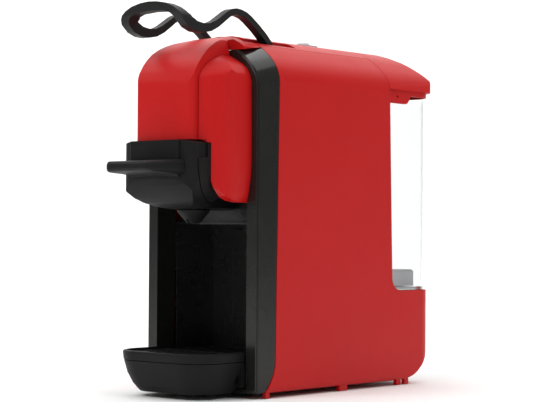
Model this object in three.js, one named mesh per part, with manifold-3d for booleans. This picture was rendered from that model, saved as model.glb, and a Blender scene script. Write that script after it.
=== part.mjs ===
// Capsule espresso machine with lever, sliding capsule holder, drip tray and clear water tank.
// Millimetres, +Z up, front of the machine faces -Y, floor at Z = 0.
import * as THREE from 'three';
import { mergeVertices } from 'three/addons/utils/BufferGeometryUtils.js';
import Module from 'manifold-3d';

const wasm = await Module();
wasm.setup();

// ------------------------------------------------------------------ driving dimensions
const HALF_W = 60;          // half width over the side shells
const FOOT_H = 4;           // rubber feet lift
const CROWN_Z = 277;        // top of the crown
const SHELL_T = 2.4;        // wall of the moulded shells
const GAP = 0.35;           // seam between neighbouring mouldings
const FRAME_IN = 47.2;      // half width of the cup bay
const FRAME_D = 21;         // depth of the front frame
const BAY_D = 65;           // cup bay depth behind the frame face
const BAY_CEIL = 131;       // cup bay ceiling
const TRAY_TOP = 33;        // top of the drip grid
const RIM_TOP = 35;         // top of the rim round the front of the grid
const SHELF_Z = 77.7;       // tank shelf
const TANK_Y0 = 163.5;      // front wall of the tank
const TANK_Y1 = 225.5;      // rear wall of the tank
const TANK_X = 54;          // half width of the tank
const LID_Y0 = 160.4;       // front edge of the lid
const LID_Y1 = 227.5;       // rear edge of the lid
const REAR_Y = 221;         // rear of the lower body
const PIVOT = [45, 255];    // lever pivot, Y and Z
const BREW_Y = -5;          // centre line of the brewing chamber
const BUTTON_Y = 112;       // middle of the two buttons
const HOLD_TOP = 193;       // top of the capsule holder
const ORIGIN_Y = 74.3;      // shifts the origin under the middle of the overall box

// half profile of the crown, X and Z, from the centre outwards
const CROWN = [[0, 277], [12, 276.7], [20, 275.4], [28, 272.8], [37, 268.6], [42.5, 265], [50.1, 258.8],
  [54.5, 254.2], [57.6, 249], [59.4, 244], [60, 239]];

// ------------------------------------------------------------------ helpers
const group = new THREE.Group();
group.name = 'espresso_machine';

function material(color, roughness, metalness = 0, extra = {}) {
  return new THREE.MeshStandardMaterial({ color, roughness, metalness, ...extra });
}
const LOOK = {
  red: () => material(0xb7282a, 0.32),
  redFront: () => material(0xc02c2c, 0.34),
  gloss: () => material(0x2b2a28, 0.22),
  matte: () => material(0x242424, 0.62),
  lever: () => material(0x35342f, 0.35),
  black: () => material(0x1b1b1c, 0.5),
  rubber: () => material(0x141414, 0.9),
  clear: () => material(0xeef2f4, 0.08, 0, { transparent: true, opacity: 0.35 }),
  grey: () => material(0xc4c8c6, 0.45),
  steel: () => material(0xc8cacc, 0.28, 1),
  brass: () => material(0xb08d4c, 0.35, 1),
  alu: () => material(0xa9abad, 0.4, 1),
  silicone: () => material(0xe6e2da, 0.6),
  ptfe: () => material(0xf1f1ee, 0.45),
  coil: () => material(0x2f3136, 0.6),
  pcb: () => material(0x1c5a38, 0.5),
  chrome: () => material(0xdfe1e3, 0.12, 1),
  white: () => material(0xe9e9e6, 0.4),
};

function add(name, geometry, look) {
  const g = geometry.clone();
  g.translate(0, -ORIGIN_Y, 0);
  const m = new THREE.Mesh(g, LOOK[look]());
  m.name = name;
  group.add(m);
}

function solid(geometry) {
  const g = geometry.clone();
  g.deleteAttribute('normal');
  g.deleteAttribute('uv');
  const m = mergeVertices(g, 1e-4);
  const index = new Uint32Array(m.index.array);
  const out = new wasm.Manifold(new wasm.Mesh({
    numProp: 3, vertProperties: new Float32Array(m.attributes.position.array), triVerts: index }));
  return out;
}
function shape(man) {
  const mesh = man.getMesh();
  const g = new THREE.BufferGeometry();
  const p = new Float32Array(mesh.numVert * 3);
  for (let i = 0; i < mesh.numVert; i++) {
    for (let k = 0; k < 3; k++) p[3 * i + k] = mesh.vertProperties[mesh.numProp * i + k];
  }
  g.setAttribute('position', new THREE.BufferAttribute(p, 3));
  g.setIndex(new THREE.BufferAttribute(new Uint32Array(mesh.triVerts), 1));
  g.computeVertexNormals();
  return g;
}
const cut = (a, ...bs) => bs.reduce((m, b) => m.subtract(b), a);
const join = (a, ...bs) => bs.reduce((m, b) => m.add(b), a);
const common = (a, ...bs) => bs.reduce((m, b) => m.intersect(b), a);
const put = (name, man, look) => add(name, shape(man), look);

function toShape(points) {
  const s = new THREE.Shape();
  points.forEach(([a, b], i) => (i ? s.lineTo(a, b) : s.moveTo(a, b)));
  s.closePath();
  return s;
}
function extrude(points, depth) {
  return new THREE.ExtrudeGeometry(toShape(points), { depth, bevelEnabled: false, steps: 1 });
}
// outline given as [x, y], grown from z0 to z1
function alongZ(points, z0, z1) {
  const g = extrude(points, z1 - z0);
  g.translate(0, 0, z0);
  return solid(g);
}
// outline given as [x, z], grown from y0 to y1
function alongY(points, y0, y1) {
  const g = extrude(points, y1 - y0);
  g.rotateX(Math.PI / 2);
  g.translate(0, y1, 0);
  return solid(g);
}
// outline given as [y, z], grown from x0 to x1
function alongX(points, x0, x1) {
  const g = extrude(points, x1 - x0);
  g.rotateY(Math.PI / 2);
  g.rotateX(Math.PI / 2);
  g.translate(x0, 0, 0);
  return solid(g);
}
function block(x0, x1, y0, y1, z0, z1) {
  const g = new THREE.BoxGeometry(x1 - x0, y1 - y0, z1 - z0);
  g.translate((x0 + x1) / 2, (y0 + y1) / 2, (z0 + z1) / 2);
  return solid(g);
}
// turned part about the vertical line through x, y; profile as [radius, z]
function turned(profile, x, y, segments = 28) {
  const pts = profile.map(([r, z]) => new THREE.Vector2(r, z));
  pts.push(pts[0].clone());
  const g = new THREE.LatheGeometry(pts, segments);
  g.rotateX(Math.PI / 2);
  g.translate(x, y, 0);
  let s = solid(g);
  if (s.volume() < 0) {
    const flipped = new THREE.LatheGeometry(pts.slice().reverse(), segments);
    flipped.rotateX(Math.PI / 2);
    flipped.translate(x, y, 0);
    s = solid(flipped);
  }
  return s;
}
function rod(r, z0, z1, x, y, segments = 24) {
  const g = new THREE.CylinderGeometry(r, r, z1 - z0, segments);
  g.rotateX(Math.PI / 2);
  g.translate(x, y, (z0 + z1) / 2);
  return solid(g);
}
function rodX(r, x0, x1, y, z, segments = 24) {
  const g = new THREE.CylinderGeometry(r, r, x1 - x0, segments);
  g.rotateZ(Math.PI / 2);
  g.translate((x0 + x1) / 2, y, z);
  return solid(g);
}
function rodY(r, y0, y1, x, z, segments = 24) {
  const g = new THREE.CylinderGeometry(r, r, y1 - y0, segments);
  g.translate(x, (y0 + y1) / 2, z);
  return solid(g);
}
function mirrorX(geometryMan) {
  return geometryMan.mirror([1, 0, 0]);
}
// polygon with rounded corners: entries are [a, b, radius]
function rounded(corners, steps = 6) {
  const out = [];
  const n = corners.length;
  for (let i = 0; i < n; i++) {
    const [px, py] = corners[(i + n - 1) % n];
    const [cx, cy, r = 0] = corners[i];
    const [nx, ny] = corners[(i + 1) % n];
    if (!r) { out.push([cx, cy]); continue; }
    let ax = px - cx, ay = py - cy, bx = nx - cx, by = ny - cy;
    const la = Math.hypot(ax, ay), lb = Math.hypot(bx, by);
    ax /= la; ay /= la; bx /= lb; by /= lb;
    const half = Math.acos(Math.max(-1, Math.min(1, ax * bx + ay * by))) / 2;
    const back = Math.min(r / Math.tan(half), la * 0.499, lb * 0.499);
    const rr = back * Math.tan(half);
    const mx = ax + bx, my = ay + by, lm = Math.hypot(mx, my);
    const ox = cx + (mx / lm) * (rr / Math.sin(half)), oy = cy + (my / lm) * (rr / Math.sin(half));
    const a0 = Math.atan2(cy + ay * back - oy, cx + ax * back - ox);
    let a1 = Math.atan2(cy + by * back - oy, cx + bx * back - ox);
    let d = a1 - a0;
    while (d > Math.PI) d -= 2 * Math.PI;
    while (d < -Math.PI) d += 2 * Math.PI;
    for (let k = 0; k <= steps; k++) {
      const a = a0 + (d * k) / steps;
      out.push([ox + rr * Math.cos(a), oy + rr * Math.sin(a)]);
    }
  }
  return out;
}
function boxRound(x0, x1, y0, y1, r, steps = 6) {
  return rounded([[x0, y0, r], [x1, y0, r], [x1, y1, r], [x0, y1, r]], steps);
}
// moves every edge of an anticlockwise outline inwards by d
function inset(points, d) {
  const n = points.length;
  const out = [];
  for (let i = 0; i < n; i++) {
    const [px, py] = points[(i + n - 1) % n], [cx, cy] = points[i], [qx, qy] = points[(i + 1) % n];
    let ax = cx - px, ay = cy - py, bx = qx - cx, by = qy - cy;
    const la = Math.hypot(ax, ay) || 1, lb = Math.hypot(bx, by) || 1;
    ax /= la; ay /= la; bx /= lb; by /= lb;
    let mx = -ay - by, my = ax + bx;
    const lm = Math.hypot(mx, my) || 1;
    mx /= lm; my /= lm;
    const c = Math.max(0.4, mx * -ay + my * ax);
    out.push([cx + (mx * d) / c, cy + (my * d) / c]);
  }
  return out;
}
// closed skin through stations of equal point count (each an array of THREE.Vector3)
function loft(stations) {
  const n = stations[0].length;
  const pos = [];
  const idx = [];
  stations.forEach((s) => s.forEach((v) => pos.push(v.x, v.y, v.z)));
  for (let i = 0; i + 1 < stations.length; i++) {
    for (let k = 0; k < n; k++) {
      const a = i * n + k, b = i * n + ((k + 1) % n), c = a + n, d = b + n;
      idx.push(a, b, d, a, d, c);
    }
  }
  const caps = [0, stations.length - 1];
  caps.forEach((ci, side) => {
    const c = new THREE.Vector3();
    stations[ci].forEach((v) => c.add(v));
    c.multiplyScalar(1 / n);
    const at = pos.length / 3;
    pos.push(c.x, c.y, c.z);
    for (let k = 0; k < n; k++) {
      const a = ci * n + k, b = ci * n + ((k + 1) % n);
      if (side) idx.push(at, a, b); else idx.push(at, b, a);
    }
  });
  const g = new THREE.BufferGeometry();
  g.setAttribute('position', new THREE.BufferAttribute(new Float32Array(pos), 3));
  g.setIndex(idx);
  let s = solid(g);
  if (s.volume() < 0) {
    for (let i = 0; i < idx.length; i += 3) [idx[i], idx[i + 1]] = [idx[i + 1], idx[i]];
    g.setIndex(idx);
    s = solid(g);
  }
  return s;
}
// flat bar with rounded edges following a centre line; its broad face looks up
function ribbon(path, widths, thicks, around = 8) {
  const curve = new THREE.CatmullRomCurve3(path.map((p) => new THREE.Vector3(...p)), false, 'centripetal');
  const count = Math.round(path.length * 1.4);
  const lerp = (a, t) => {
    const f = t * (a.length - 1), i = Math.min(a.length - 2, Math.floor(f));
    return a[i] + (a[i + 1] - a[i]) * (f - i);
  };
  const stations = [];
  for (let i = 0; i <= count; i++) {
    const t = i / count;
    const p = curve.getPoint(t), T = curve.getTangent(t).normalize();
    const N = new THREE.Vector3(0, 0, 1);
    N.addScaledVector(T, -N.dot(T));
    if (N.length() < 0.2) N.set(0, 1, 0).addScaledVector(T, -T.y);
    N.normalize();
    const B = new THREE.Vector3().crossVectors(T, N).normalize();
    const w = lerp(widths, t) / 2, h = lerp(thicks, t) / 2;
    const ring = [];
    for (let k = 0; k < around; k++) {
      const a = ((k + 0.5) / around) * 2 * Math.PI;
      const cx = Math.sign(Math.cos(a)) * Math.abs(Math.cos(a)) ** 0.55;
      const cy = Math.sign(Math.sin(a)) * Math.abs(Math.sin(a)) ** 0.55;
      ring.push(p.clone().addScaledVector(B, w * cx).addScaledVector(N, h * cy));
    }
    stations.push(ring);
  }
  return loft(stations);
}
// round bar or hose along a path
function hose(path, r, segments = 24, around = 10) {
  const curve = new THREE.CatmullRomCurve3(path.map((p) => new THREE.Vector3(...p)), false, 'centripetal');
  const s = new THREE.Shape();
  for (let k = 0; k < around; k++) {
    const a = (k / around) * 2 * Math.PI;
    if (k) s.lineTo(r * Math.cos(a), r * Math.sin(a)); else s.moveTo(r, 0);
  }
  s.closePath();
  return new THREE.ExtrudeGeometry(s, { steps: segments, bevelEnabled: false, extrudePath: curve });
}
function coilSpring(r, wire, z0, z1, turns, x, y) {
  const pts = [];
  const n = turns * 8;
  for (let i = 0; i <= n; i++) {
    const a = (i / 8) * 2 * Math.PI;
    pts.push([x + r * Math.cos(a), y + r * Math.sin(a), z0 + wire + ((z1 - z0 - 2 * wire) * i) / n]);
  }
  return hose(pts, wire, n, 5);
}

// ------------------------------------------------------------------ outer body volumes
const fullSection = (d) => {
  const right = CROWN.slice().reverse();
  const pts = [[-HALF_W + 4, FOOT_H], [HALF_W - 4, FOOT_H], [HALF_W - 1.2, FOOT_H + 1.2], [HALF_W, FOOT_H + 4]];
  right.forEach((p) => pts.push(p));
  CROWN.slice(1).forEach(([x, z]) => pts.push([-x, z]));
  pts.push([-HALF_W, FOOT_H + 4], [-HALF_W + 1.2, FOOT_H + 1.2]);
  return d ? inset(pts, d) : pts;
};
function bodyVolume(d, y0, y1, rear, corner) {
  const bar = alongY(fullSection(d), y0, y1);
  const plan = alongZ(rounded([[-HALF_W + d, y0 - 1], [HALF_W - d, y0 - 1],
    [HALF_W - d, rear - d, Math.max(1, corner - d)], [-HALF_W + d, rear - d, Math.max(1, corner - d)]], 8), -5, 320);
  return common(bar, plan);
}

// boundary between frame and side shells, Y and Z, from the floor up
const frameEdge = (g) => [[9.2 + g, 4], [9.9 + g, 5.6], [14.6 + g, 12.8], [17.6 + g, 18.8], [19 + g, 25], [19.2 + g, 51],
  [20.5 + g, 130], [21.4 + g, 187], [22.2 + g, 240], [22.4 + g, 285]];
// head outlines
const cheekSide = [[24, 262], [-4.7, 260.2], [-11, 259], [-17.1, 257], [-22.4, 254.4], [-26.7, 251.6], [-30.4, 248.2], [-33.2, 244.4], [-35.2, 239], [-36, 232],
  [-36.4, HOLD_TOP + 0.6], [-32, HOLD_TOP + 0.6], [-32, 172], [-31, 164.5], [-27.6, 157.4], [-22, 151.6], [-15, 148.4], [-7, 147.3], [24, 147.2]];
const headHalf = [[46.7, 140], [46.9, 147], [49.2, 156], [50.9, 166], [51.6, 178], [51.6, 196], [51, 238], [49.4, 243.5], [46.3, 248.4], [41.7, 252],
  [34.2, 256.2], [25.9, 260.2]];
const headSection = [...headHalf, [20, 262], [-20, 262], ...headHalf.slice().reverse().map(([x, z]) => [-x, z])];

// ---- front frame: two posts, a base bar and the arch, ending in points beside the spine
{
  const bandOuter = (inFront) => {
    const s = (x, z) => {
      const k = inFront;
      return [x - k * 2.2 * Math.min(1, x / 50), z - k * (z > 235 ? 5.2 : 0)];
    };
    const right = CROWN.slice().reverse().map(([x, z]) => s(x, z));
    const pts = [[-HALF_W + 4, FOOT_H], [HALF_W - 4, FOOT_H], [HALF_W - 1.2 - inFront, FOOT_H + 1.2], s(HALF_W, FOOT_H + 4)];
    right.forEach((p) => pts.push(p));
    right.slice(0, -1).reverse().forEach(([x, z]) => pts.push([-x, z]));
    pts.push([-s(HALF_W, 8)[0], FOOT_H + 4], [-HALF_W + 1.2 + inFront, FOOT_H + 1.2]);
    return pts;
  };
  const ring = (pts, y) => pts.map(([x, z]) => new THREE.Vector3(x, y, z));
  const front = bandOuter(1), rear = bandOuter(0.0);
  const lip = inset(front, 1.1);
  const outer = loft([ring(lip, 0), ring(lip, 1.9), ring(front, 2.3), ring(rear, 23)]);
  const behind = alongX([[60, 2], ...frameEdge(0), [60, 285]], -70, 70);
  const openHalf = [[FRAME_IN, 7.4], [FRAME_IN, 146.5], ...inset(headSection, -GAP).slice(2, 12)];
  const opening = alongY([...openHalf, [25.9, 300], [-25.9, 300], ...openHalf.slice().reverse().map(([x, z]) => [-x, z])], -10, 60);
  const slot = (sx) => block(Math.min(sx * 23, sx * 37.6), Math.max(sx * 23, sx * 37.6), 19.5, 60, 255, 300);
  const flatTop = alongX([[-10, 262.7], [2, 263], [22.4, 266], [60, 270], [60, 300], [-10, 300]], -70, 70);   // the arch ends level, under the cover
  put('front_frame', cut(outer, behind, opening, slot(1), slot(-1), flatTop), 'gloss');
}

// ---- side shells
const rearRound = (d) => {
  const pts = [[-20, 300], [-20, 4 + d]];
  for (let i = 9; i >= 0; i--) {
    const t = (i / 9) * Math.PI / 2;
    pts.push([178 + (REAR_Y - 178 - d) * Math.cos(t), 52 - (48 - d) * Math.sin(t)]);
  }
  pts.push([REAR_Y - d, 300]);
  return alongX(pts, -70, 70);
};
const shellOuter = common(bodyVolume(0, 2, 240, REAR_Y, 16), rearRound(0));
const shellInner = common(bodyVolume(SHELL_T, 1, 241, REAR_Y, 16), rearRound(SHELL_T));
const shellSkin = cut(shellOuter, shellInner);
const sideCut = [...frameEdge(GAP).slice(0, 9), [22.75, 285], [159.9, 285], [159.9, 234], [164, 86.6],
  [166, 82], [170, 79], [176, SHELF_Z], [232, SHELF_Z], [232, 2], [9.55, 2]];
{
  const side = common(shellSkin, alongX(sideCut, -70, 70));
  const right = common(side, join(block(37.4, 70, -10, 240, -5, 300)));
  // moulded locating pegs under the shell edge
  const pegs = [[12.6, 4.4], [103, 10], [175.4, 6], [186, 5.4]].map(([y, l]) => block(55, 58.2, y - l / 2, y + l / 2, 0.3, 6.4));
  const r = join(right, ...pegs);
  // inner screw ribs
  const ribs = [[40, 20], [150, 20], [40, 225], [150, 225]].map(([y, z]) => rodX(3.2, 52.5, 58.2, y, z, 14));
  const rr = join(r, ...ribs);
  put('side_shell_right', rr, 'red');
  put('side_shell_left', mirrorX(rr), 'red');
}

// ---- top cover: spine over the crown that runs down as the front of the head
{
  const crownSkin = cut(bodyVolume(0, 2, 240, 400, 16), bodyVolume(SHELL_T, 1, 241, 400, 16));
  const spine = common(crownSkin, block(-37, 37, 20.6, 159.9, 250, 300));
  const coverSide = [[30, 277], [21.5, 276.8], [9.4, 274.8], [-5.4, 271], [-13.2, 268.2], [-19.8, 264.9], [-25.2, 261.4], [-30, 257], [-34.4, 251.8], [-38.4, 245.6], [-41.5, 239], [-43.6, 232], [-44.8, 225],
    [-44.8, HOLD_TOP + 0.6], [30, HOLD_TOP + 0.6]];
  const coverPlan = rounded([[-29.6, -42.2, 4.5], [-15, -43.8, 40], [0, -44.5, 60], [15, -43.8, 40], [29.6, -42.2, 4.5], [29.6, 40], [-29.6, 40]], 4);
  const coverHalf = [[29.6, 190], [29.6, 253.6], [29.1, 260.4], [27.8, 266.2], [24.8, 270.6], [18.6, 274.2], [9.4, 276.4]];
  const coverSection = [...coverHalf, [0, 277], ...coverHalf.slice().reverse().map(([x, z]) => [-x, z])];
  const outer = common(alongX(coverSide, -40, 40), alongZ(coverPlan, 100, 300), alongY(coverSection, -60, 40));
  const sideIn = inset(coverSide, SHELL_T).slice(0, -2);
  const inner = common(alongX([...sideIn, [-42.4, 180], [40, 180], [40, 274.6]], -40, 40), alongZ(inset(coverPlan, SHELL_T).map(([x, y]) => [x, y > 30 ? 60 : y]), 100, 300),
    alongY(inset(coverSection, SHELL_T).map(([x, z]) => [x, z < 200 ? 180 : z]), -60, 60));
  let head = cut(outer, inner);
  // behind the frame face the cover narrows to pass between the points of the arch
  head = cut(head, block(25.5, 60, -0.6, 50, 180, 300), block(-60, -25.5, -0.6, 50, 180, 300), block(-60, 60, 24, 60, 180, 300),
    block(-60, 60, 2, 60, 180, 262));
  const slot = (sx) => block(Math.min(sx * 24.2, sx * 33.8), Math.max(sx * 24.2, sx * 33.8), 10, 71.5, 250, 300);
  const panel = block(-15.2, 15.2, BUTTON_Y - 8.8, BUTTON_Y + 8.8, 260, 300);
  const spineCut = cut(spine, slot(1), slot(-1), panel);
  const bridge = common(cut(alongY(inset(coverSection, 0.0), 19, 26), alongY(inset(coverSection, SHELL_T), 18, 27)), block(-24.2, 24.2, 19, 26, 262, 277));
  const aboveArch = alongX([[-6, 262.9], [-1, 263], [2, 263.4], [22.4, 266.4], [22.4, 300], [-6, 300]], -70, 70);
  const slope = alongX([[-6, 200], [-6, 268.6], [2.3, 271.6], [9.4, 274.4], [16, 276], [21.5, 276.8], [30, 280], [30, 200]], -70, 70);   // follows the head down to the front
  const crownBar = common(bodyVolume(0, -1, 240, 400, 16), aboveArch, slope);
  const wing = (x0) => common(crownBar, block(x0 < 0 ? -42 : 25, x0 < 0 ? -25 : 42, 1.6, 22.2, 250, 300));
  const wings = cut(join(wing(25), wing(-42)), slot(1), slot(-1), block(25.5, 60, 21.6, 24, 240, 300), block(-60, -25.5, 21.6, 24, 240, 300));
  put('top_cover', join(spineCut, head, bridge, wings), 'redFront');
}

// ---- cheeks that flank the head
{
  const planR = rounded([[30, 24], [30, -35.2], [38, -30.8, 12], [45.4, -23.2, 12], [50, -13.6, 12], [51.5, -3], [51.5, 24]], 4);
  const domeProfile = [[49.4, 140], [49.4, 226], [48.6, 233], [47.2, 237.6], [45.6, 241.4], [44, 244.8], [41.6, 248.4], [38.4, 251.8], [33.4, 255.2], [27.4, 257.8], [20, 259.4], [-60, 262], [-60, 140]];
  const dome = alongX(domeProfile.map(([u, z]) => [-u, z]), -90, 90).rotate([0, 0, Math.atan2(0.6, 0.8) * 180 / Math.PI]);
  const outer = common(alongX(cheekSide, 30, 60), alongZ(planR, 140, 270), alongY(headSection, -60, 24), dome);
  const hollow = common(alongX([[30, 253.5], [-4, 252], [-12, 248.4], [-19, 243.6], [-25, 236], [-29, 228], [-32.6, 220], [-32.6, HOLD_TOP + 3.2], [30, HOLD_TOP + 3.2]], 30, 60),
    alongZ([[32.6, 30], [32.6, -30], [36.6, -27.8], [43, -21], [47.2, -12.4], [48.6, -2], [48.8, 30]], 140, 270),
    alongY([[48.8, 150], [48.6, 236], [47, 241.6], [44.2, 245.8], [39.8, 249], [30, 254], [30, 150]], -60, 30));
  const track = alongY([[20, 140], [38.5, 140], [38.5, HOLD_TOP - 1.9], [33, HOLD_TOP - 0.5], [28, HOLD_TOP + 0.3], [20, HOLD_TOP + 0.6]], -60, 30);     // room for the capsule holder
  const nearCover = block(20, 30.1, -60, 30, 140, 300);
  const frameRoom = block(30, 70, 19.5, 40, 140, 300);
  const r = cut(outer, hollow, track, nearCover, frameRoom);
  put('cheek_right', r, 'redFront');
  put('cheek_left', mirrorX(r), 'redFront');
}

// ---- cup bay
{
  const outer = block(-49, 49, 21.8, 66.8, 6.8, 132.8);
  const inner = block(-FRAME_IN, FRAME_IN, 0, BAY_D, 8, BAY_CEIL);
  const recess = block(-26.2, 26.2, 60, BAY_D + 1, 34, 128);
  const upstand = block(-46.4, 46.4, 25, 27, 130, 154);
  put('cup_bay_liner', cut(join(outer, upstand), inner, recess), 'gloss');
  put('bay_back_plate', alongY(boxRound(-25.9, 25.9, 34.3, 127.7, 1.2, 3), BAY_D - 0.5, BAY_D + 0.7), 'black');
}

// ---- bottom, rear and inner structure
put('bottom_cover', common(shellSkin, block(-37, 37, 11, 149.6, -5, 6.6)), 'black');
{
  const skin = common(shellSkin, block(-37, 37, 150, 240, -5, 77.2));
  const gland = rodY(6.2, 200, 240, -22, 46);
  const vents = [];
  for (let i = 0; i < 5; i++) vents.push(block(2, 30, 200, 240, 40 + 5 * i, 42 + 5 * i));
  put('rear_panel', cut(skin, gland, ...vents), 'black');
  const flange = rodY(8, 221.3, 223.4, -22, 46, 24);
  const neck = rodY(5.8, 213, 221.6, -22, 46, 20);
  const collar = rodY(5, 223.2, 227, -22, 46, 16);
  put('cord_gland', cut(join(flange, neck, collar), rodY(3.3, 210, 230, -22, 46, 16)), 'rubber');
}
{
  const plate = block(-56.2, 56.2, 67.3, 156.8, 6.9, 9.4);
  const wall1 = block(-56.2, 56.2, 67.3, 69.3, 9, 40);
  const post = (x, y) => rod(4.5, 9, 30, x, y, 14);
  const shelfRib = cut(block(-36, 36, 150, 152, 9, 60), rodY(4, 140, 160, 30, 47, 14));
  put('base_chassis', cut(join(plate, wall1, post(-44, 78), post(44, 78), post(44, 146), shelfRib), rod(1.6, 12, 40, -44, 78, 10), rod(1.6, 12, 40, 44, 78, 10), rod(1.6, 12, 40, 44, 146, 10)), 'black');
}
{
  const inner = bodyVolume(SHELL_T + 0.4, 60, 240, REAR_Y, 16);
  const shelf = common(inner, block(-70, 70, 157.2, 240, 73.6, 77.2));
  const bulkhead = common(inner, block(-70, 70, 157.2, 159.5, 30, 300));
  const hole = rod(9.4, 60, 90, -14, 192);
  const wire = rodY(4, 150, 170, 30, 47, 14);
  put('tank_dock', cut(join(shelf, bulkhead), hole, wire), 'black');
}
{
  const body = turned([[4.2, 58], [6.4, 58], [6.4, 71], [9, 71], [9, 76.6], [4.2, 76.6]], -14, 192, 24);
  const nip = rod(3.2, 50, 58.4, -14, 192, 16);
  const bridge = block(-18.6, -9.4, 191.2, 192.8, 60, 76.6);
  const pin = rod(1.4, 66, 78.3, -14, 192, 10);
  put('dock_socket', join(body, cut(nip, rod(2, 49, 57.6, -14, 192, 12)), bridge, pin, turned([[0, 57.6], [6, 57.6], [6, 58.6], [0, 58.6]], -14, 192, 24)), 'grey');
  put('socket_seal', turned([[4.6, 76.9], [8.6, 76.9], [8.6, 77.5], [4.6, 77.5]], -14, 192, 24), 'silicone');
}
[[24, 18, 'front_right'], [-24, 18, 'front_left'], [24, 142, 'rear_right'], [-24, 142, 'rear_left']].forEach(([x, y, n]) => {
  put(`foot_${n}`, cut(turned([[0, 0], [5.4, 0], [6, 0.8], [6, 3.7], [0, 3.7]], x, y, 20), rod(1.5, -1, 1.6, x, y, 10)), 'rubber');
});

// ---- water tank, its outlet valve and the lid
{
  const outline = rounded([[-TANK_X, TANK_Y0, 6], [TANK_X, TANK_Y0, 6], [TANK_X, TANK_Y1, 15], [-TANK_X, TANK_Y1, 15]], 7);
  const low = rounded([[-TANK_X + 0.5, TANK_Y0 + 0.5, 6], [TANK_X - 0.5, TANK_Y0 + 0.5, 6], [TANK_X - 0.5, TANK_Y1 - 0.5, 15], [-TANK_X + 0.5, TANK_Y1 - 0.5, 15]], 7);
  const outer = join(alongZ(low, 77.9, 101), alongZ(outline, 100, 236));
  const inner = join(alongZ(inset(low, 2), 80.3, 101), alongZ(inset(outline, 2), 100, 250));
  const collar = turned([[0, 79], [8, 79], [8, 88], [0, 88]], -14, 192, 20);
  const bore = turned([[0, 81.4], [5.4, 81.4], [5.4, 95], [0, 95]], -14, 192, 20);
  const seat = rod(3, 60, 90, -14, 192, 16);
  put('water_tank', cut(join(cut(outer, inner), collar), bore, seat), 'clear');
  put('tank_valve', join(rod(2.2, 79.1, 84, -14, 192, 14), rod(4.6, 82, 84.4, -14, 192, 18)), 'grey');
  add('valve_spring', coilSpring(3.6, 0.45, 84.8, 91.2, 4, -14, 192), 'steel');
  put('valve_cap', cut(turned([[0, 88.4], [8.6, 88.4], [8.6, 93.5], [0, 93.5]], -14, 192, 20), rod(4.9, 88, 91.6, -14, 192, 18), rod(2, 88, 95, -14, 192, 12)), 'grey');
  const filter = alongZ(boxRound(12, 45, 176, 215, 5, 4), 80.7, 93.4);
  const filterTop = alongZ(boxRound(13.2, 43.8, 177.2, 213.8, 4, 4), 93, 94.4);
  put('tank_filter', join(filter, filterTop), 'grey');
}
{
  const lidOuterBar = common(alongY(fullSection(0), LID_Y0, 240),
    alongZ(rounded([[-HALF_W, LID_Y0 - 1], [HALF_W, LID_Y0 - 1], [HALF_W, LID_Y1, 18], [-HALF_W, LID_Y1, 18]], 8), 0, 300));
  const back = [[LID_Y1, 244.2], [226.2, 246.8], [223.6, 250.2], [220.4, 254], [216.8, 258], [212.6, 262.2], [207.4, 266.8], [201.2, 271], [194.6, 274.6], [187.5, 277.2]];
  const side = [[LID_Y0, 285], [LID_Y0, 242.8], [LID_Y1 + 0.4, 242.8], ...back, [LID_Y1 - 46, 285]];
  const outer = common(lidOuterBar, alongX(side, -70, 70));
  const lidInnerBar = common(alongY(fullSection(SHELL_T), LID_Y0 + 2, 240),
    alongZ(rounded([[-HALF_W + SHELL_T, LID_Y0 + 2], [HALF_W - SHELL_T, LID_Y0 + 2], [HALF_W - SHELL_T, LID_Y1 - SHELL_T, 16], [-HALF_W + SHELL_T, LID_Y1 - SHELL_T, 16]], 8), 0, 300));
  const backIn = back.map(([y, z], i) => {
    const [y0, z0] = back[Math.max(0, i - 1)], [y1, z1] = back[Math.min(back.length - 1, i + 1)], l = Math.hypot(y1 - y0, z1 - z0);
    return [y - ((z1 - z0) / l) * SHELL_T, z + ((y1 - y0) / l) * SHELL_T];
  });
  const sideIn = [[LID_Y0, 285], [LID_Y0, 230], [backIn[0][0] + 0.6, 230], ...backIn, [LID_Y1 - 46, 285]];
  const inner = common(lidInnerBar, alongX(sideIn, -70, 70));
  const lipOut = rounded([[-56.6, LID_Y0 + 3, 5], [56.6, LID_Y0 + 3, 5], [56.6, LID_Y1 - 3.4, 15], [-56.6, LID_Y1 - 3.4, 15]], 7);
  const lip = cut(alongZ(lipOut, 238.6, 244.4), alongZ(inset(lipOut, 1.8), 230, 250));
  const tie = cut(alongZ(rounded([[-58, LID_Y0 + 1, 5], [58, LID_Y0 + 1, 5], [58, LID_Y1 - 2, 16], [-58, LID_Y1 - 2, 16]], 7), 243.2, 244.8), alongZ(inset(lipOut, 1.8), 230, 250));
  const ear = (sx) => cut(alongX(rounded([[163, 245], [163, 231.8, 4], [188, 231.8, 6], [193, 239.5, 3], [196, 245]], 4), sx > 0 ? 54.9 : -56.6, sx > 0 ? 56.6 : -54.9),
    rodX(1.1, -60, 60, 174.4, 237.4, 10));
  put('tank_lid', join(cut(outer, inner), lip, tie, ear(1), ear(-1)), 'red');
}

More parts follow.
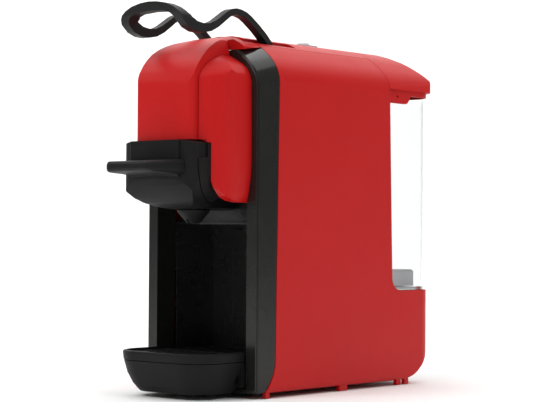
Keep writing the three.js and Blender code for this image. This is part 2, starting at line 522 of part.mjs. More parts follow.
// ---- drip tray and grid
{
  const outline = (wx, fy, r) => rounded([[-wx + 0.9, -0.8], [-wx, fy, r], [wx, fy, r], [wx - 0.9, -0.8]], 8);   // a little narrower at the back, to clear the arch
  const ring = (pts, z) => pts.map(([x, y]) => new THREE.Vector3(x, y, z));
  const front = loft([ring(outline(36.7, -39.6, 24), 4), ring(outline(37.6, -40.8, 25), 5), ring(outline(41, -44.6, 28), 10), ring(outline(44.6, -48, 31), 18), ring(outline(46.8, -50.2, 33), 27.4)]);
  const hollow = loft([ring(outline(34.4, -37.2, 22), 6.6), ring(outline(38.6, -42, 26), 11), ring(outline(42.2, -45.6, 29), 18), ring(outline(44.6, -48, 31), 30)]);
  const box = block(-45.8, 45.8, -3.2, 61.6, 8.4, 27.4);
  const boxIn = block(-43.4, 43.4, -6, 59.4, 10.6, 30);
  put('drip_tray', cut(join(front, box), hollow, boxIn), 'matte');
  const rim = loft([ring(outline(47, -50.4, 33), 27.9), ring(outline(47.5, -51.2, 33.4), 33.4), ring(outline(47.1, -50.8, 33), 34.6), ring(outline(46.1, -49.8, 32), RIM_TOP)]);
  const pocket = loft([ring(outline(44.4, -48, 30.6), TRAY_TOP), ring(outline(45.2, -48.9, 31.2), 40)]);
  const top = join(cut(rim, pocket, block(-44.4, 44.4, -6, 10, TRAY_TOP, 40)), block(-45, 45, -2, 61.4, 27.9, TRAY_TOP));
  const under = join(loft([ring(outline(44.6, -48, 31), 27), ring(outline(44.6, -48, 31), 31)]), block(-43.4, 43.4, -6, 59.4, 27, 31));
  const holes = [];
  for (let i = -4; i <= 4; i++) {
    const w = Math.sqrt(Math.max(0, 1 - (i * 9.4) ** 2 / 60 ** 2));
    holes.push(block(i * 9.4 - 2.7, i * 9.4 + 2.7, -42 * w, 2, 25, 40), block(i * 9.4 - 2.7, i * 9.4 + 2.7, 6, 52, 25, 40));
  }
  put('drip_grid', cut(top, under, ...holes), 'matte');
}

// ---- capsule holder with grip tab, capsule seat, seal and spout
{
  const plan = rounded([[-38.1, 24], [-38.1, -48.4, 12], [-20, -50.6, 30], [0, -51.4, 60], [20, -50.6, 30], [38.1, -48.4, 12], [38.1, 24]], 6);
  const half = [[0, 141.6], [10, 142], [18.6, 143.6], [25.4, 146.4], [30.8, 150.2], [34.4, 154.8], [36.7, 160.2], [37.8, 166.2], [38.1, 172.4], [38.1, HOLD_TOP - 2.5], [33, HOLD_TOP - 1.1], [28, HOLD_TOP - 0.3], [22, HOLD_TOP]];
  const frontView = [...half, ...half.slice(1).reverse().map(([x, z]) => [-x, z])];
  const sideView = [[-54, HOLD_TOP], [-54, 182], [-53.8, 176], [-53, 170.2], [-51.6, 164.8], [-49.2, 159.6], [-46, 154.8], [-41.8, 150.6], [-36.6, 147], [-30.4, 144.4], [-23, 142.6], [-15.6, 141.8], [-8, 141.6], [24, 141.6], [24, HOLD_TOP]];
  const outer = common(alongZ(plan, 130, 200), alongY(frontView, -60, 30), alongX(sideView, -50, 50));
  const hollow = common(alongZ([[-34.8, 20.6], [-34.8, -36], [-28, -46], [28, -46], [34.8, -36], [34.8, 20.6]], 140, 190),
    alongY([[-34.8, 189.6], [-34.8, 169], [-29, 157], [-14, 149], [14, 149], [29, 157], [34.8, 169], [34.8, 189.6]], -60, 30),
    alongX([[-46, 189.6], [-46, 172], [-39, 158.6], [-25, 151], [20.6, 149], [20.6, 189.6]], -50, 50));
  const tab = loft([[-42, 14], [-50, 11.6], [-58, 10], [-68, 9], [-74.4, 8.4], [-77.6, 6.6], [-78.9, 3.4]].map(([y, h], i) => {
    const w = [30, 30, 29.4, 29, 27, 23.6, 20][i], zc = 173, pts = [];
    boxRound(-w, w, zc - h / 2, zc + h / 2, Math.min(3.2, h * 0.45), 3).forEach(([x, z]) => pts.push(new THREE.Vector3(x, y, z)));
    return pts;
  }));
  const tabIn = common(tab, block(-60, 60, -85, -47.5, 150, 200));
  const mouth = rod(21.2, 180, 200, 0, BREW_Y, 32);
  const outlet = rod(9.2, 130, 160, 0, BREW_Y - 3.5, 24);
  const latch = [block(36.5, 45, -42.6, -33, 180.2, 200), block(-45, -36.5, -42.6, -33, 180.2, 200)];
  const pad = common(alongZ(rounded([[-26, -44], [-25.2, -53, 2.4], [0, -53.6, 90], [25.2, -53, 2.4], [26, -44]], 4), 150, HOLD_TOP),
    alongX([[-60, HOLD_TOP], [-60, 178], [-53.2, 168], [-47, 163], [-40, 163], [-40, HOLD_TOP]], -30, 30), alongY(frontView, -60, 30));
  const skinIn = common(alongZ(inset(plan, 0.9), 130, 200), alongY(inset(frontView, 0.9), -70, 40), alongX(inset(sideView, 0.9), -50, 50));
  const seamLine = [[-42.9, 179.6], [-42.9, 174], [-42, 166], [-39.6, 160], [-35.6, 155], [-30, 151], [-23, 148.2], [-15.4, 146.6]];
  const seamOuter = seamLine.map(([y, z], i) => {
    const [y0, z0] = seamLine[Math.max(0, i - 1)], [y1, z1] = seamLine[Math.min(seamLine.length - 1, i + 1)], l = Math.hypot(y1 - y0, z1 - z0);
    return [[y - ((z1 - z0) / l) * 0.45, z + ((y1 - y0) / l) * 0.45], [y + ((z1 - z0) / l) * 0.45, z - ((y1 - y0) / l) * 0.45]];
  });
  const seam = cut(alongX([...seamOuter.map((q) => q[0]), ...seamOuter.map((q) => q[1]).reverse()], -60, 60), skinIn, block(-24, 24, -60, 30, 130, 200));
  const heel = [block(17, 60, -15, 40, 130, 150.4), block(-60, -17, -15, 40, 130, 150.4)];
  put('capsule_holder', cut(join(outer, pad, tabIn), hollow, mouth, outlet, ...latch, ...heel, seam), 'matte');
  const rim = [[20.8, 192.6], [18, 192.6], [17, 190.8], [14.4, 166], [13.2, 164.4], [3, 164.4], [3, 162.4], [14.6, 162.4], [16, 164.6], [18.4, 188.4], [20.8, 190]];
  put('capsule_seat', turned(rim, 0, BREW_Y, 30), 'black');
  put('seat_spike', turned([[0, 165], [2.6, 165], [2.6, 167], [0.9, 173], [0, 174.5]], 0, BREW_Y, 12), 'steel');
  const funnel = [[8.8, 152], [8.8, 141.4], [12.6, 141.4], [12.4, 140], [5.6, 132.6], [4.6, 131.5], [3.4, 131.5], [3.4, 133.4], [6.2, 141], [6.4, 152]];
  put('spout', cut(turned(funnel, 0, BREW_Y - 3.5, 26), block(-0.9, 0.9, -30, 30, 130, 134.4)), 'black');
}

// ---- brewing unit
{
  const bore = rod(21.4, 190, 240, 0, BREW_Y, 32);
  const drum = rod(25.4, 199, 228, 0, BREW_Y, 32);
  const deck = block(-36.2, 36.2, 24.6, 60, 199, 205);
  const arm = block(-22, 22, 8, 60, 199, 208);
  const ear = (sx) => block(Math.min(sx * 33.4, sx * 36.2), Math.max(sx * 33.4, sx * 36.2), 38, 52, 199, 261);
  const holes = rodX(3.35, -50, 50, PIVOT[0], PIVOT[1], 20);
  const leg = block(-22, 22, 57, 60, 134, 204);
  put('brew_frame', cut(join(drum, deck, arm, ear(1), ear(-1), leg), bore, holes), 'black');
  const plate = turned([[0, 194.9], [20.8, 194.9], [20.8, 206], [17, 208], [0, 208]], 0, BREW_Y, 32);
  const stem = rod(7, 207, 238, 0, BREW_Y, 20);
  const yoke = block(-9, 9, BREW_Y - 4, 50, 233, 239);
  const waterway = rod(1.6, 190, 203, 0, BREW_Y, 10);
  const groove = turned([[17.4, 194], [19.6, 194], [19.6, 196.4], [17.4, 196.4]], 0, BREW_Y, 32);
  put('brew_piston', cut(join(plate, stem, yoke), waterway, groove), 'grey');
  put('piston_gasket', turned([[17.7, 194.1], [19.3, 194.1], [19.3, 196.1], [17.7, 196.1]], 0, BREW_Y, 32), 'silicone');
  put('water_needle', cut(turned([[0, 194], [1.2, 194.4], [1.2, 202.4], [0, 202.4]], 0, BREW_Y, 10)), 'steel');
}

// ---- lever
{
  const mid = [[45, 252, 2.6], [44.8, 262, 2.6], [43.4, 270.2, 2.6], [37.5, 275.6, 2.6], [29.2, 282, 2.5], [19.6, 288.2, 2.5], [14.4, 290.8, 2.5], [9.2, 292.1, 2.5], [4, 292.5, 2.5], [-0.8, 291.6, 2.5],
    [-5, 289.6, 2.5], [-9.1, 286.8, 2.6], [-17.6, 281.2, 2.8], [-25, 277.9, 3.1], [-32.6, 276.8, 3.5], [-40, 277.4, 4], [-46.4, 280, 4.5], [-51, 284.2, 4.7], [-53.4, 289.4, 4.5], [-54.2, 294, 4.2],
    [-54.4, 299, 4.2]];
  const side = (k) => mid.map(([y, z, d], i) => {
    const [y0, z0] = mid[Math.max(0, i - 1)], [y1, z1] = mid[Math.min(mid.length - 1, i + 1)];
    const l = Math.hypot(y1 - y0, z1 - z0);
    return [y - ((z1 - z0) / l) * d * k, z + ((y1 - y0) / l) * d * k];
  });
  const sheet = alongX([...side(1), ...side(-1).reverse()], -32.4, 32.4);
  const outerU = alongY([[-32.4, 200], [32.4, 200], [32.4, 282], [31.6, 285.4], [29.2, 288.2], [25, 291.2], [18, 294], [9, 295.8], [0, 296.4], [-9, 295.8], [-18, 294], [-25, 291.2],
    [-29.2, 288.2], [-31.6, 285.4], [-32.4, 282]], -70, -38);
  const innerU = alongY([[-24.8, 200], [24.8, 200], [24.8, 280], [23.6, 284], [20.4, 286.8], [14, 288.6], [0, 289.2], [-14, 288.6], [-20.4, 286.8], [-23.6, 284], [-24.8, 280]], -70, -38);
  const front = cut(common(sheet, outerU), innerU, block(-24.8, 24.8, -46, 70, 200, 310));
  const arms = cut(common(sheet, block(-40, 40, -38.2, 60, 200, 310)), block(-24.8, 24.8, -48.4, 70, 200, 310));
  const bar = join(front, arms);
  const hub = (sx) => rodX(6.6, sx > 0 ? 24.8 : -33, sx > 0 ? 33 : -24.8, PIVOT[0], PIVOT[1], 20);
  const bore = rodX(3.3, -50, 50, PIVOT[0], PIVOT[1], 20);
  put('lever', cut(join(bar, hub(1), hub(-1)), bore), 'lever');
  put('lever_shaft', rodX(3, -36.2, 36.2, PIVOT[0], PIVOT[1], 20), 'steel');
  const cam = (name, sx) => {
    const disc = rodX(7, sx > 0 ? 3.5 : -8.5, sx > 0 ? 8.5 : -3.5, PIVOT[0], PIVOT[1] - 7, 24);
    const boss = rodX(5.4, sx > 0 ? 3.5 : -8.5, sx > 0 ? 8.5 : -3.5, PIVOT[0], PIVOT[1], 20);
    put(name, cut(join(disc, boss), bore), 'grey');
  };
  cam('cam_right', 1);
  cam('cam_left', -1);
}

// ---- buttons on the crown
{
  const plateTop = common(alongY([[-15, 272], [15, 272], [15, 277.3], [12, 277.9], [-12, 277.9], [-15, 277.3]], BUTTON_Y - 8.6, BUTTON_Y + 8.6), block(-20, 20, 90, 160, 260, 290));
  const wells = [7.2, -7.2].map((x) => rod(5.35, 250, 290, x, BUTTON_Y, 24));
  put('button_bezel', cut(plateTop, ...wells), 'white');
  [['button_small_cup', -7.2], ['button_large_cup', 7.2]].forEach(([n, x]) => {
    put(n, turned([[0, 266.6], [2, 266.6], [2, 271.4], [5, 271.4], [5, 278.8], [4.3, 279.4], [2.4, 279.1], [0, 279]], x, BUTTON_Y, 24), 'chrome');
  });
  const switches = [7.2, -7.2].map((x) => block(x - 3, x + 3, BUTTON_Y - 3, BUTTON_Y + 3, 262.9, 265));
  put('button_board', join(block(-17, 17, BUTTON_Y - 11, BUTTON_Y + 11, 261.6, 263.2), ...switches), 'pcb');
}

// ---- water and power parts inside
{
  const coil = block(-46, -10, 94, 132, 40, 82);
  const bore = rod(10.3, 0, 140, -28, 113, 24);
  put('pump_coil', cut(coil, bore), 'coil');
  put('pump_body', cut(join(rod(10, 22, 104, -28, 113, 24), rod(12, 84, 100, -28, 113, 24), rod(4, 100, 112, -28, 113, 14), rod(4, 14.6, 24, -28, 113, 14)), rod(1.8, 8, 60, -28, 113, 10)), 'brass');
  const strap = cut(block(-48.6, -7.4, 91.4, 134.6, 36.4, 39.6), rod(10.6, 0, 140, -28, 113, 24));
  put('pump_bracket', join(strap, block(-48.6, -7.4, 91.4, 93.4, 17, 38), block(-48.6, -7.4, 132.6, 134.6, 17, 38)), 'steel');
  put('pump_mount_front', block(-46, -10, 88, 95, 9.8, 16.6), 'rubber');
  put('pump_mount_rear', block(-46, -10, 131, 138, 9.8, 16.6), 'rubber');
  const boiler = join(block(4, 46, 88, 116, 120, 196), rod(5, 194, 203, 14, 102, 14), rod(5, 112, 121, 36, 102, 14));
  put('thermoblock', cut(boiler, rod(2, 190, 210, 14, 102, 10), rod(2, 100, 125, 36, 102, 10)), 'alu');
  put('thermostat', join(rodY(8, 116.4, 121, 25, 170, 18), rodY(5, 120.8, 125, 25, 170, 14)), 'steel');
  put('thermal_fuse', rodX(2.6, 12, 38, 118.8, 140, 12), 'white');
  put('boiler_bracket', join(block(2, 48, 84.4, 87.4, 110, 200), block(2, 48, 70.4, 87.4, 106, 110)), 'steel');
  put('flow_meter', cut(join(rod(13, 40, 54, 30, 124, 24), rod(3.4, 53, 64, 30, 124, 12), rodY(3.4, 134, 147, 30, 47, 12)), rod(1.8, 52, 66, 30, 124, 10)), 'grey');
  put('main_board', join(block(-55.4, -53.8, 78, 146, 132, 224), block(-53.9, -40, 90, 110, 150, 172), block(-53.9, -44, 118, 140, 150, 166), rodX(5, -53.9, -38, 100, 190, 16), block(-53.9, -47, 122, 144, 186, 212)), 'pcb');
  put('terminal_block', block(-36, -18, 158, 176, 9, 20), 'white');
  const tube = (name, pts, r, look) => add(name, hose(pts, r, pts.length * 3, 8), look);
  tube('tank_hose', [[-14, 192, 49.4], [-14, 192, 42], [-6, 186, 34], [12, 178, 34], [26, 171, 42], [30, 163, 47], [30, 155, 47], [30, 147.4, 47]], 2.8, 'silicone');
  tube('pump_hose', [[30, 124, 64.6], [30, 124, 72], [22, 130, 82], [6, 140, 70], [-14, 142, 30], [-26, 128, 12.2], [-28, 113, 12.2], [-28, 112.9, 14.2]].slice(0, 5), 2.8, 'silicone');
  tube('pressure_hose', [[-28, 113, 112.6], [-28, 113, 122], [-20, 108, 132], [-8, 90, 128], [6, 92, 108], [20, 98, 98], [34, 102, 100], [36, 102, 111.4]], 2, 'ptfe');
  tube('brew_hose', [[14, 102, 203.6], [14, 100, 212], [8, 88, 224], [2, 74, 226], [0, 62, 224], [0, 58, 222]].slice(0, 6), 2, 'ptfe');
}
export default group;
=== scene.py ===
"""Capsule espresso machine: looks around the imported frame."""

import math

import bmesh
import bpy
import numpy as np
from mathutils import Matrix, Vector

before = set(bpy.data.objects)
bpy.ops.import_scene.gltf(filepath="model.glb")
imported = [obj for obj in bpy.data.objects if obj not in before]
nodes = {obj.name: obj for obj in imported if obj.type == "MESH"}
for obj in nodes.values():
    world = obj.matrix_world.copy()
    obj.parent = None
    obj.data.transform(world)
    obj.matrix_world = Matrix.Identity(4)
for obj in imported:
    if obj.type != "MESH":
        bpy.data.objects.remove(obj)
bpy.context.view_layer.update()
scene = bpy.context.scene
scene.view_settings.view_transform = "Standard"
scene.view_settings.look = "None"


# ---------------------------------------------------------------- camera, floor, light
def make_camera():
    """A long lens, a little to the right of the front corner, at half the machine's height."""
    azimuth, pitch, roll = math.radians(41.37), math.radians(1.0), math.radians(0.36)
    forward = Vector((-math.sin(azimuth) * math.cos(pitch), math.cos(azimuth) * math.cos(pitch), math.sin(pitch)))
    right = Vector((math.cos(azimuth), math.sin(azimuth), 0))
    up = right.cross(forward)
    r2 = math.cos(roll) * right + math.sin(roll) * up
    u2 = math.cos(roll) * up - math.sin(roll) * right
    data = bpy.data.cameras.new("camera")
    data.lens, data.sensor_width = 114.22, 36.0
    data.clip_start, data.clip_end = 0.05, 60
    cam = bpy.data.objects.new("camera", data)
    m = Matrix((r2, u2, -forward)).transposed().to_4x4()
    m.translation = Vector((0.9024, -1.0213, 0.12624))
    cam.matrix_world = m
    scene.collection.objects.link(cam)
    scene.camera = cam
    return forward, right


VIEW_DIR, VIEW_RIGHT = make_camera()


def make_world(strength=0.3):
    world = bpy.data.worlds.new("studio")
    world.use_nodes = True
    tree = world.node_tree
    bg = tree.nodes["Background"]
    bg.inputs["Color"].default_value = (1.0, 0.995, 0.985, 1)
    bg.inputs["Strength"].default_value = strength
    scene.world = world


make_world()


def area_light(name, place, aim, size, size_y, power, color=(1, 1, 1)):
    data = bpy.data.lights.new(name, "AREA")
    data.shape, data.size, data.size_y = "RECTANGLE", size, size_y
    data.energy, data.color = power, color
    o = bpy.data.objects.new(name, data)
    o.location = Vector(place)
    o.rotation_mode = "QUATERNION"
    o.rotation_quaternion = (Vector(aim) - Vector(place)).to_track_quat("-Z", "Y")
    scene.collection.objects.link(o)
    return o


area_light("key_softbox", (-0.35, -1.6, 1.75), (0, 0, 0.12), 1.2, 0.9, 19)
area_light("side_softbox", (1.75, -0.2, 1.65), (0, 0.06, 0.14), 1.1, 0.9, 9.5)
area_light("top_softbox", (0.1, 0.3, 2.4), (0, 0.05, 0.1), 2.4, 2.4, 8)
back_dir = Vector((VIEW_DIR.x, VIEW_DIR.y, 0)).normalized()
area_light("backdrop_softbox", back_dir * 1.2 + Vector((0, 0, 2.6)), back_dir * 2.8 + Vector((0, 0, 0.5)), 5.0, 1.2, 54)
area_light("floor_softbox", back_dir * 0.2 + Vector((0, 0, 3.2)), back_dir * 0.4, 5.0, 3.0, 52)


def new_object(name, mesh):
    o = bpy.data.objects.new(name, mesh)
    scene.collection.objects.link(o)
    return o


def make_sweep():
    """Floor that curves up into a wall behind the machine, square to the camera's view."""
    profile = [(-3.2, 0.0), (1.6, 0.0)]
    radius = 1.2
    for i in range(1, 25):
        t = math.radians(90 * i / 24)
        profile.append((1.6 + radius * math.sin(t), radius * (1 - math.cos(t))))
    profile.append((1.6 + radius, 4.5))
    back = Vector((VIEW_DIR.x, VIEW_DIR.y, 0)).normalized()
    side = Vector((back.y, -back.x, 0))
    verts, faces = [], []
    cols = 9
    for d, z in profile:
        for j in range(cols):
            s = -5 + 10 * j / (cols - 1)
            p = back * d + side * s
            verts.append((p.x, p.y, z - 0.00002))
    for i in range(len(profile) - 1):
        for j in range(cols - 1):
            a = i * cols + j
            faces.append((a, a + cols, a + cols + 1, a + 1))
    me = bpy.data.meshes.new("floor")
    me.from_pydata(verts, [], faces)
    me.update()
    me.flip_normals() if me.polygons[0].normal.z < 0 else None
    for p in me.polygons:
        p.use_smooth = True
    o = new_object("floor", me)
    return o


floor = make_sweep()


# ---------------------------------------------------------------- node helpers
class Mat:
    """A material with a few short ways of adding nodes."""

    def __init__(self, name):
        self.m = bpy.data.materials.new(name)
        self.m.use_nodes = True
        self.t = self.m.node_tree
        self.t.nodes.clear()
        self.out = self.t.nodes.new("ShaderNodeOutputMaterial")
        self.p = self.t.nodes.new("ShaderNodeBsdfPrincipled")
        self.t.links.new(self.p.outputs[0], self.out.inputs["Surface"])
        self.coord = self.t.nodes.new("ShaderNodeTexCoord").outputs["Object"]

    def link(self, a, b):
        self.t.links.new(a, b)
        return b

    def stretch(self, sx, sy, sz, rot=(0, 0, 0)):
        n = self.t.nodes.new("ShaderNodeMapping")
        n.inputs["Scale"].default_value = (sx, sy, sz)
        n.inputs["Rotation"].default_value = rot
        self.link(self.coord, n.inputs["Vector"])
        return n.outputs[0]

    def noise(self, scale, detail=2.0, rough=0.5, vector=None, distortion=0.0):
        n = self.t.nodes.new("ShaderNodeTexNoise")
        n.inputs["Scale"].default_value = scale
        n.inputs["Detail"].default_value = detail
        n.inputs["Roughness"].default_value = rough
        n.inputs["Distortion"].default_value = distortion
        self.link(vector or self.coord, n.inputs["Vector"])
        return n.outputs["Fac"]

    def voronoi(self, scale, feature="F1", vector=None, randomness=1.0):
        n = self.t.nodes.new("ShaderNodeTexVoronoi")
        n.feature = feature
        n.inputs["Scale"].default_value = scale
        n.inputs["Randomness"].default_value = randomness
        self.link(vector or self.coord, n.inputs["Vector"])
        return n.outputs["Distance"]

    def wave(self, scale, axis="X", vector=None, distortion=0.0):
        n = self.t.nodes.new("ShaderNodeTexWave")
        n.wave_type, n.bands_direction = "BANDS", axis
        n.inputs["Scale"].default_value = scale
        n.inputs["Distortion"].default_value = distortion
        self.link(vector or self.coord, n.inputs["Vector"])
        return n.outputs["Fac"]

    def remap(self, value, a, b, c, d, smooth=False):
        n = self.t.nodes.new("ShaderNodeMapRange")
        n.interpolation_type = "SMOOTHSTEP" if smooth else "LINEAR"
        for i, v in zip(("From Min", "From Max", "To Min", "To Max"), (a, b, c, d)):
            n.inputs[i].default_value = v
        self.link(value, n.inputs["Value"])
        return n.outputs[0]

    def math(self, op, a, b=None, clamp=False):
        n = self.t.nodes.new("ShaderNodeMath")
        n.operation, n.use_clamp = op, clamp
        for i, v in enumerate((a, b)):
            if v is None:
                continue
            if isinstance(v, (int, float)):
                n.inputs[i].default_value = v
            else:
                self.link(v, n.inputs[i])
        return n.outputs[0]

    def mix(self, fac, c1, c2):
        n = self.t.nodes.new("ShaderNodeMix")
        n.data_type = "RGBA"
        self.link(fac, n.inputs[0])
        for sock, v in ((n.inputs[6], c1), (n.inputs[7], c2)):
            if isinstance(v, tuple):
                sock.default_value = (*v, 1)
            else:
                self.link(v, sock)
        return n.outputs[2]

    def bump(self, height, strength, distance, normal=None):
        n = self.t.nodes.new("ShaderNodeBump")
        n.inputs["Strength"].default_value = strength
        n.inputs["Distance"].default_value = distance
        self.link(height, n.inputs["Height"])
        if normal is not None:
            self.link(normal, n.inputs["Normal"])
        return n.outputs[0]

    def set(self, **values):
        for k, v in values.items():
            self.p.inputs[k.replace("_", " ")].default_value = v
        return self

    def to(self, socket, value):
        self.link(value, self.p.inputs[socket])
        return self


def edge_light(m):
    """0 on faces, 1 on convex edges and corners."""
    g = m.t.nodes.new("ShaderNodeNewGeometry")
    return m.remap(g.outputs["Pointiness"], 0.5, 0.56, 0.0, 1.0)


def moulded_plastic(name, dark, light, rough=(0.28, 0.4), grain=0.0, grain_scale=2600, peel=0.35, coat=0.0,
                    coat_rough=0.08, scuff=0.05, ior=1.5, dust=0.0, specular=0.5):
    """Injection-moulded plastic: a slow tone drift, orange peel, optional spark-eroded grain, fine scuffs and handling marks."""
    m = Mat(name)
    drift = m.noise(9, 3, 0.55)
    cloud = m.noise(47, 4, 0.6, distortion=0.4)
    tone = m.math("ADD", m.math("MULTIPLY", drift, 0.65), m.math("MULTIPLY", cloud, 0.35))
    base = m.mix(m.remap(tone, 0.35, 0.65, 0, 1), dark, light)
    # hairline scuffs in two directions
    s1 = m.noise(1, 6, 0.7, m.stretch(26, 900, 900, (0.3, 0.2, 0.5)))
    s2 = m.noise(1, 6, 0.7, m.stretch(900, 38, 700, (0.1, 0.9, 0.2)))
    lines = m.math("MAXIMUM", m.remap(s1, 0.66, 0.74, 0, 1), m.remap(s2, 0.67, 0.75, 0, 1))
    patches = m.remap(m.noise(16, 2), 0.5, 0.66, 0, 1, True)
    marks = m.math("MULTIPLY", lines, patches)
    if dust:
        specks = m.remap(m.voronoi(520), 0.0, 0.09, 1, 0)
        specks = m.math("MULTIPLY", specks, m.remap(m.noise(60, 2), 0.56, 0.7, 0, dust))
        base = m.mix(specks, base, tuple(min(1.0, c * 1.6 + 0.02) for c in light))
    m.to("Base Color", base)
    wet = m.noise(31, 5, 0.62)
    r = m.remap(wet, 0.3, 0.7, rough[0], rough[1])
    r = m.math("ADD", r, m.math("MULTIPLY", marks, scuff * 2.2), clamp=True)
    m.to("Roughness", r)
    n = m.bump(m.noise(420, 2, 0.4), peel, 0.00006)
    if grain:
        g = m.math("ADD", m.noise(grain_scale, 3, 0.7), m.math("MULTIPLY", m.voronoi(grain_scale * 0.55), 0.8))
        n = m.bump(g, grain, 0.00012, n)
    n = m.bump(marks, scuff, -0.00003, n)
    m.to("Normal", n)
    m.set(IOR=ior, Specular_IOR_Level=specular, Coat_Weight=coat, Coat_Roughness=coat_rough)
    return m.m


def rubber(name, dark, light, rough=(0.6, 0.8)):
    m = Mat(name)
    m.to("Base Color", m.mix(m.remap(m.noise(60, 4), 0.3, 0.7, 0, 1), dark, light))
    m.to("Roughness", m.remap(m.noise(240, 4), 0.3, 0.7, *rough))
    m.to("Normal", m.bump(m.math("ADD", m.noise(1900, 3, 0.7), m.noise(240, 2)), 0.35, 0.00012))
    m.set(IOR=1.52)
    return m.m


def metal(name, dark, light, rough=(0.2, 0.35), brush=(1, 60, 60), scale=60, strength=0.12, metallic=1.0):
    m = Mat(name)
    streak = m.noise(scale, 6, 0.65, m.stretch(*brush))
    stain = m.noise(70, 4, 0.6)
    m.to("Base Color", m.mix(m.remap(stain, 0.3, 0.7, 0, 1), dark, light))
    r = m.math("ADD", m.remap(streak, 0.25, 0.75, rough[0], rough[1]), m.remap(stain, 0.35, 0.75, 0, 0.08), clamp=True)
    m.to("Roughness", r)
    m.to("Normal", m.bump(streak, strength, 0.00008))
    m.set(Metallic=metallic)
    return m.m


def clear_plastic(name, tint, rough=(0.015, 0.05), ior=1.49, transmission=1.0):
    m = Mat(name)
    haze = m.noise(38, 4, 0.6)
    lines = m.noise(1, 6, 0.7, m.stretch(500, 500, 22, (0.05, 0.1, 0)))
    r = m.math("ADD", m.remap(haze, 0.35, 0.7, *rough), m.remap(lines, 0.68, 0.76, 0, 0.12), clamp=True)
    m.to("Roughness", r)
    m.to("Base Color", m.mix(m.remap(haze, 0.3, 0.7, 0, 1), tint, tuple(min(1, c * 1.01) for c in tint)))
    m.to("Normal", m.bump(m.noise(130, 2), 0.12, 0.00006))
    m.set(IOR=ior, Transmission_Weight=transmission)
    return m.m


def backdrop(name):
    m = Mat(name)
    m.to("Base Color", m.mix(m.remap(m.noise(0.8, 2), 0.3, 0.7, 0, 1), (0.9, 0.9, 0.895), (0.915, 0.915, 0.91)))
    m.to("Roughness", m.remap(m.noise(5, 3), 0.3, 0.7, 0.85, 0.95))
    m.set(Specular_IOR_Level=0.1)
    return m.m


floor.data.materials.append(backdrop("paper"))

RED = moulded_plastic("red_plastic", (0.505, 0.0062, 0.0068), (0.535, 0.0068, 0.0074), rough=(0.38, 0.45), peel=0.16, coat=0.0,
                      scuff=0.02, specular=0.22)
# Painted light: a slightly lighter, glossier copy of the same red plastic for the head, standing in for the brighter
# light on the head's front.
RED_HEAD_LIT_COPY = moulded_plastic("red_plastic_head_lit_copy", (0.515, 0.0064, 0.0066), (0.545, 0.007, 0.0072), rough=(0.36, 0.43), peel=0.16,
                            coat=0.0, scuff=0.02, specular=0.22)
GLOSS = moulded_plastic("black_gloss_plastic", (0.0095, 0.0095, 0.009), (0.014, 0.014, 0.0128), rough=(0.16, 0.22), peel=0.2,
                        coat=0.0, scuff=0.04, specular=0.34)
SATIN = moulded_plastic("black_satin_plastic", (0.0062, 0.0062, 0.0064), (0.009, 0.009, 0.009), rough=(0.5, 0.6), grain=0.12,
                        scuff=0.06, specular=0.16)
LEVER = moulded_plastic("black_lever_plastic", (0.011, 0.011, 0.0112), (0.015, 0.015, 0.0152), rough=(0.42, 0.5), peel=0.2,
                        coat=0.0, scuff=0.05, specular=0.22)
LINER = moulded_plastic("dark_bay_plastic", (0.012, 0.012, 0.012), (0.016, 0.016, 0.016), rough=(0.22, 0.3), peel=0.12, grain=0.0,
                        scuff=0.01, specular=0.6)
CHASSIS = moulded_plastic("dark_chassis_plastic", (0.009, 0.009, 0.0095), (0.014, 0.014, 0.0145), rough=(0.45, 0.58), grain=0.14,
                          scuff=0.06, specular=0.35)
WHITE = moulded_plastic("natural_nylon", (0.62, 0.60, 0.55), (0.72, 0.70, 0.65), rough=(0.4, 0.55), grain=0.15, scuff=0.06)
PALE = moulded_plastic("pale_grey_plastic", (0.60, 0.60, 0.60), (0.66, 0.66, 0.66), rough=(0.25, 0.35), peel=0.2, scuff=0.04)
TANK = clear_plastic("clear_tank_plastic", (0.95, 0.96, 0.972))
FILTER = clear_plastic("frosted_filter_plastic", (0.93, 0.935, 0.94), rough=(0.35, 0.5), transmission=0.3)
STEEL = metal("brushed_steel", (0.50, 0.50, 0.49), (0.60, 0.60, 0.59))
CAST = metal("cast_aluminium", (0.42, 0.42, 0.42), (0.55, 0.55, 0.54), rough=(0.4, 0.6), brush=(1, 1, 1), scale=600, strength=0.3)
BRASS = metal("brass", (0.52, 0.38, 0.16), (0.62, 0.46, 0.22), rough=(0.25, 0.4))
COPPER = metal("enamelled_wire", (0.42, 0.15, 0.06), (0.55, 0.22, 0.09), rough=(0.25, 0.4), brush=(1, 1, 40), scale=90,
               strength=0.5)
RUBBER = rubber("black_rubber", (0.012, 0.012, 0.012), (0.022, 0.022, 0.022))
SILICONE = rubber("grey_silicone", (0.30, 0.30, 0.31), (0.40, 0.40, 0.41), rough=(0.4, 0.55))
BOARD = moulded_plastic("circuit_board", (0.01, 0.075, 0.03), (0.015, 0.11, 0.045), rough=(0.3, 0.4), grain=0.15, scuff=0.05)


def dress(name, material, bevel=0.0004, segments=2, angle=35, planar=0.6):
    """A CAD node keeps its shape: flat areas become single faces, edges get a moulded radius, and the shading follows the large faces."""
    o = nodes[name]
    o.data.materials.clear()
    o.data.materials.append(material)
    for p in o.data.polygons:
        p.use_smooth = True
    w = o.modifiers.new("weld", "WELD")
    w.merge_threshold = 0.00001
    d = o.modifiers.new("flats", "DECIMATE")
    d.decimate_type, d.angle_limit = "DISSOLVE", math.radians(planar)
    d.delimit = set()
    if bevel:
        b = o.modifiers.new("edges", "BEVEL")
        b.width, b.segments, b.limit_method, b.angle_limit = bevel, segments, "ANGLE", math.radians(angle)
        b.use_clamp_overlap = True
        b.harden_normals = False
    n = o.modifiers.new("normals", "WEIGHTED_NORMAL")
    n.keep_sharp, n.weight = True, 100
    return o


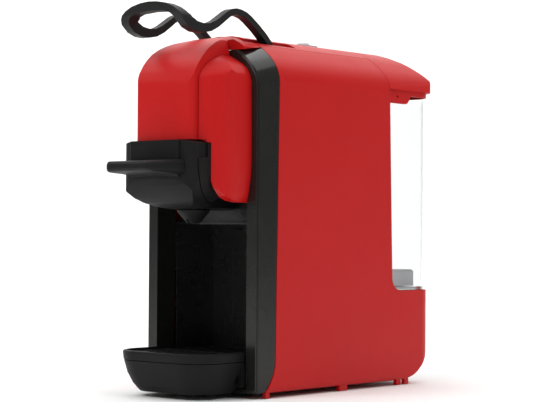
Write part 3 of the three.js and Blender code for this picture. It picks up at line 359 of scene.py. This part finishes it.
FINISH = {
    # top_cover and the cheeks take the lighter red copy, which is painted light on the head.
    "side_shell_right": (RED, 0.0005), "side_shell_left": (RED, 0.0005), "top_cover": (RED_HEAD_LIT_COPY, 0.0005),
    "cheek_right": (RED_HEAD_LIT_COPY, 0.0006), "cheek_left": (RED_HEAD_LIT_COPY, 0.0006), "tank_lid": (RED, 0.0005),
    "front_frame": (GLOSS, 0.0006), "capsule_holder": (SATIN, 0.0009), "drip_tray": (SATIN, 0.0006), "drip_grid": (SATIN, 0.0004),
    "lever": (LEVER, 0.0018), "lever_shaft": (STEEL, 0.0002), "cam_right": (WHITE, 0.0003), "cam_left": (WHITE, 0.0003),
    "cup_bay_liner": (LINER, 0.0005), "bay_back_plate": (LINER, 0.0005), "spout": (SATIN, 0.0003), "water_tank": (TANK, 0.0004),
    "tank_filter": (FILTER, 0.0003), "button_bezel": (PALE, 0.0003), "bottom_cover": (CHASSIS, 0.0004),
    "base_chassis": (CHASSIS, 0.0004), "rear_panel": (CHASSIS, 0.0005), "tank_dock": (CHASSIS, 0.0004),
    "capsule_seat": (SATIN, 0.0003), "brew_frame": (CHASSIS, 0.0004), "brew_piston": (WHITE, 0.0003),
    "seat_spike": (STEEL, 0.0001), "water_needle": (STEEL, 0.0001), "thermoblock": (CAST, 0.0004), "pump_bracket": (STEEL, 0.0002),
    "pump_body": (STEEL, 0.0003), "pump_coil": (COPPER, 0.0003), "boiler_bracket": (STEEL, 0.0002), "thermostat": (STEEL, 0.0002),
    "thermal_fuse": (STEEL, 0.0002), "flow_meter": (WHITE, 0.0003), "main_board": (BOARD, 0.0002), "button_board": (BOARD, 0.0002),
    "terminal_block": (WHITE, 0.0002), "tank_hose": (SILICONE, 0), "pump_hose": (SILICONE, 0), "pressure_hose": (WHITE, 0),
    "brew_hose": (SILICONE, 0), "dock_socket": (CHASSIS, 0.0002), "socket_seal": (SILICONE, 0.0002),
    "piston_gasket": (SILICONE, 0.0002), "cord_gland": (RUBBER, 0.0003),
}
for name, o in sorted(nodes.items()):
    if name in FINISH:
        material, bevel = FINISH[name]
    elif name.startswith("foot_") or "seal" in name or "mount" in name:
        material, bevel = RUBBER, 0.0003
    elif name.startswith("button"):
        material, bevel = PALE, 0.0003
    elif name == "valve_spring":
        material, bevel = STEEL, 0
    else:
        material, bevel = WHITE, 0.0002
    dress(name, material, bevel)
